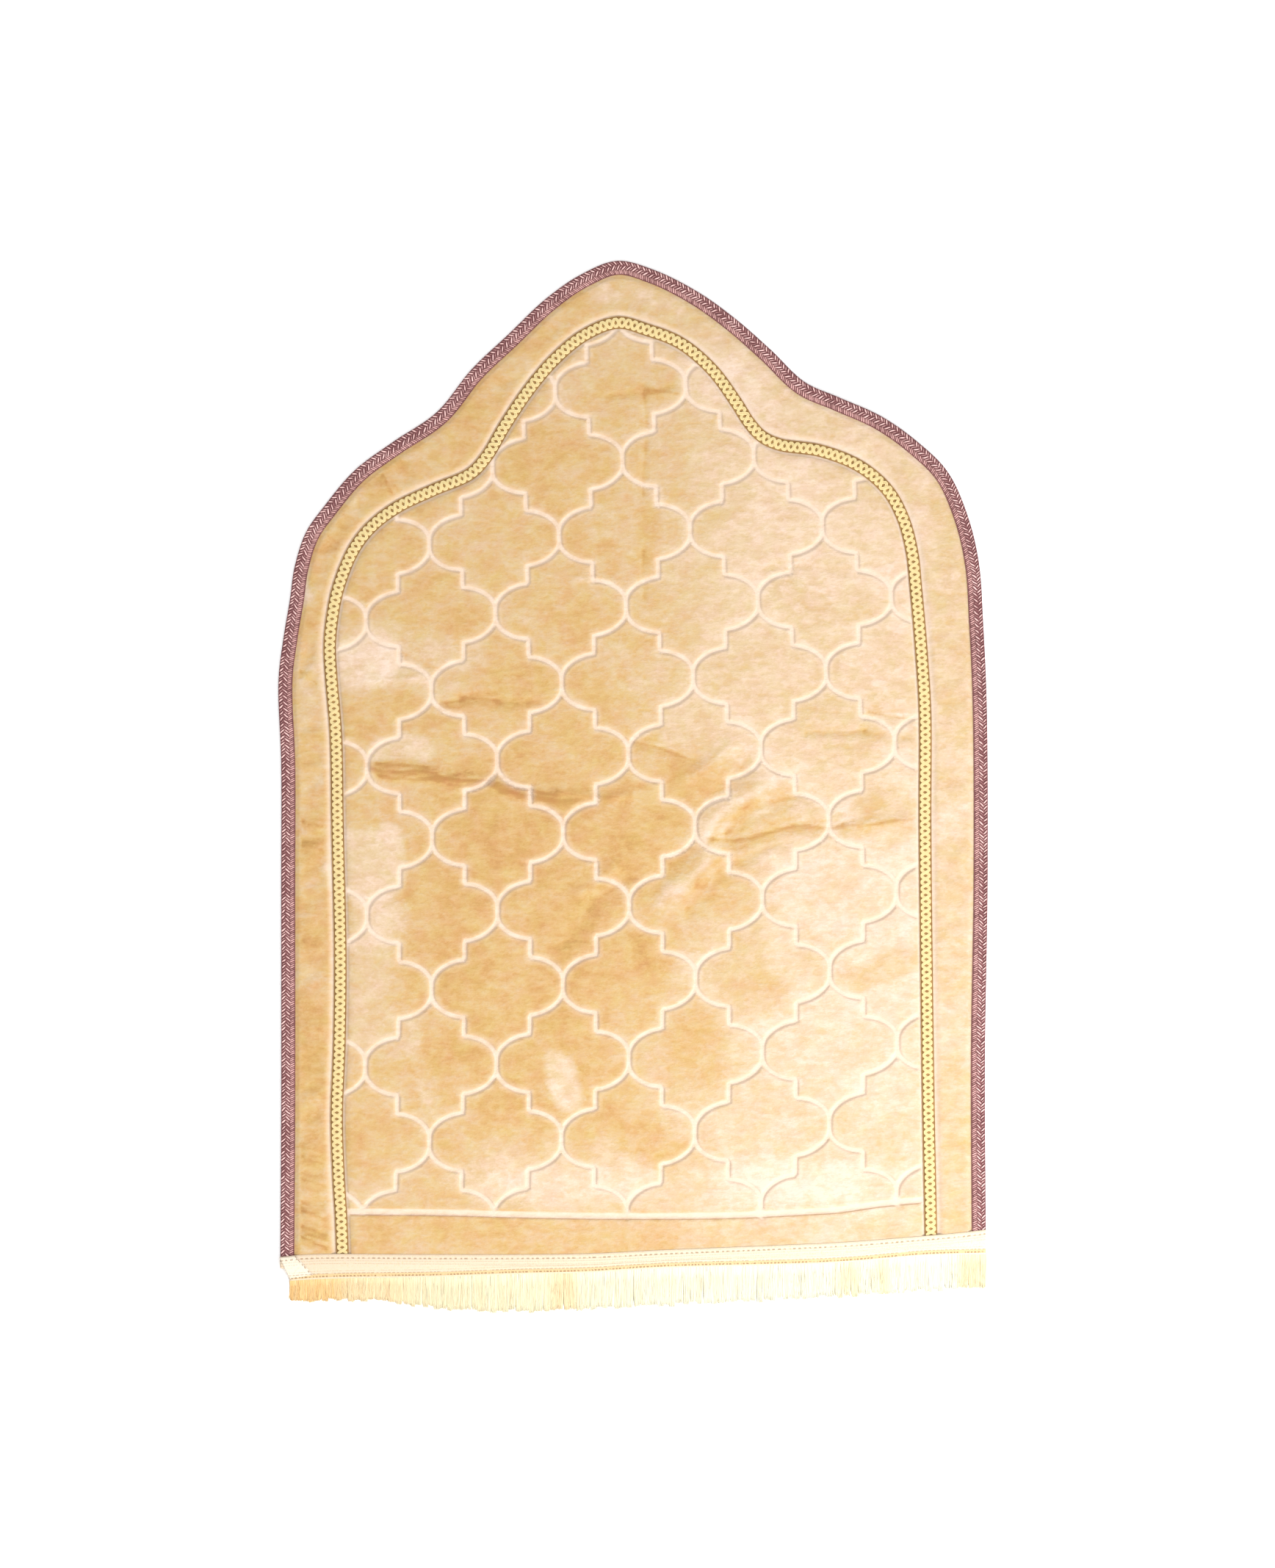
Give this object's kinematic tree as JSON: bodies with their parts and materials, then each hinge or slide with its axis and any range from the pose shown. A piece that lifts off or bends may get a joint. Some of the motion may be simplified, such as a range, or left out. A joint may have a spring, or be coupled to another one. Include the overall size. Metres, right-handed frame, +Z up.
{
  "type": "padded prayer rug",
  "caption": "Flat padded velour prayer rug with an arch-shaped end, pressed trellis, sewn-on braid and edge binding, and a fringed heading tape.",
  "frame": {"origin": "bottom centre of the box round the rug as it lies flat, fringe included", "axes": "+Z up from the floor it lies on, +Y along the rug towards the arch's tip, +X to the right when the tip points away"},
  "size_m": [0.8024, 1.1916, 0.0076],
  "materials": {
    "velour": "cut-pile velour, pressed in a trellis",
    "gold_gimp": "plaited gimp braid",
    "mauve_plait": "plaited wool-like binding",
    "cream_yarn": "woven tape with cut yarn fringe"
  },
  "bodies": {
    "root": {"rug_cloth": "velour", "gold_braid": "gold_gimp", "edge_binding": "mauve_plait", "fringe_trim": "cream_yarn"}
  },
  "joints": []
}
